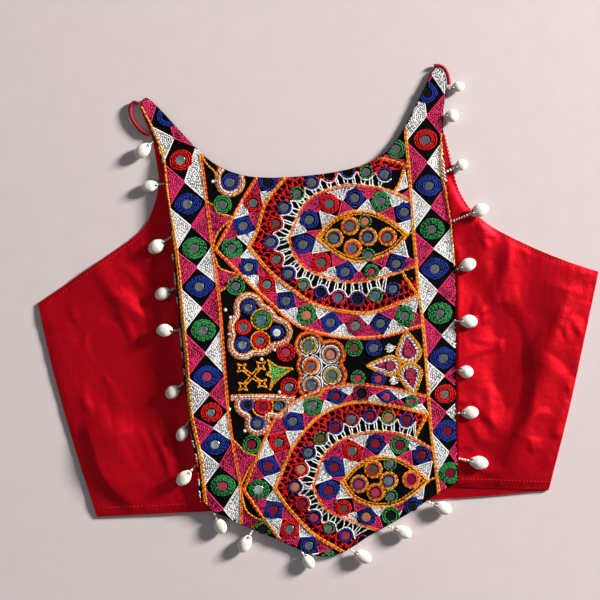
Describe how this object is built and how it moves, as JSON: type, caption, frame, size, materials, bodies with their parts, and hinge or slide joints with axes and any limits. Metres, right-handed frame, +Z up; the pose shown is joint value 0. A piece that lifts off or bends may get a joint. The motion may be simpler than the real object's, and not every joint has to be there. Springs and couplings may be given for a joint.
{
  "type": "choli blouse laid flat",
  "caption": "Sleeveless choli blouse laid flat, with a mirror-embroidered front panel and straps, plain red side fronts and back, tie loops and cowrie drops on beaded threads.",
  "frame": {"origin": "middle of the laid-out blouse's outline, on the surface it lies on", "axes": "+Z up from the surface to the front of the blouse, +Y from the hem to the neck, +X to the wearer's left"},
  "size_m": [0.4388, 0.3953, 0.0125],
  "materials": {
    "embroidered_cloth": "black cotton ground densely worked in coloured chain and fill stitches, with small round mirrors",
    "red_cotton": "plain woven cotton, slightly lustrous",
    "turned_tube": "bias-cut cotton turned to a round tube",
    "cowrie": "natural ivory cowrie shell, glossy, on a thread with small white beads"
  },
  "bodies": {
    "root": {"embroidered_panel": "embroidered_cloth", "side_front_right": "red_cotton", "side_front_left": "red_cotton", "back_right": "red_cotton", "back_left": "red_cotton", "tie_loop_right": "turned_tube", "tie_loop_left": "turned_tube", "cowrie_drop_01": "cowrie", "cowrie_drop_02": "cowrie", "cowrie_drop_03": "cowrie", "cowrie_drop_04": "cowrie", "cowrie_drop_05": "cowrie", "cowrie_drop_06": "cowrie", "cowrie_drop_07": "cowrie", "cowrie_drop_08": "cowrie", "cowrie_drop_09": "cowrie", "cowrie_drop_10": "cowrie", "cowrie_drop_11": "cowrie", "cowrie_drop_12": "cowrie", "cowrie_drop_13": "cowrie", "cowrie_drop_14": "cowrie", "cowrie_drop_15": "cowrie", "cowrie_drop_16": "cowrie", "cowrie_drop_17": "cowrie", "cowrie_drop_18": "cowrie", "cowrie_drop_19": "cowrie", "cowrie_drop_20": "cowrie", "cowrie_drop_21": "cowrie", "cowrie_drop_22": "cowrie", "cowrie_drop_23": "cowrie"}
  },
  "joints": []
}
